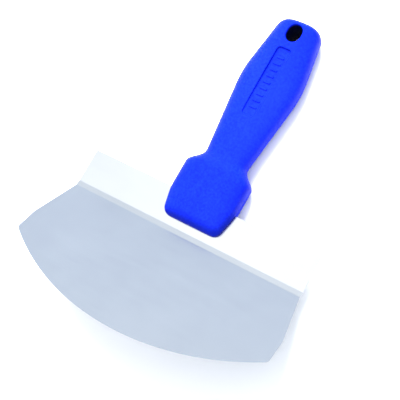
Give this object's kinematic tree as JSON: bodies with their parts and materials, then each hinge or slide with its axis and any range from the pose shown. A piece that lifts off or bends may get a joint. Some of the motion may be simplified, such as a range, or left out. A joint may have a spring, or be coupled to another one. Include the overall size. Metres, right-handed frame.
{
  "type": "bucket scoop knife",
  "caption": "Bent steel bucket scoop with a curved edge, its upright flange held in the wide bulb of a moulded plastic handle with a hang hole.",
  "frame": {"origin": "on the flat back of the handle's bulb, 27 mm up the handle from the blade's bend, on the centre line", "axes": "+X along the blade's bend, +Y up the handle towards its hang hole, +Z out of the handle's front, the side the scoop blade bends to"},
  "size_m": [0.203, 0.2492, 0.0488],
  "materials": {
    "spring_steel": "fine satin",
    "blue_plastic": "fine moulded grain",
    "tang_steel": "as rolled",
    "rivet_steel": "plain"
  },
  "bodies": {
    "root": {"blade": "spring_steel", "handle": "blue_plastic", "tang": "tang_steel", "rivet_left": "rivet_steel", "rivet_right": "rivet_steel"}
  },
  "joints": []
}
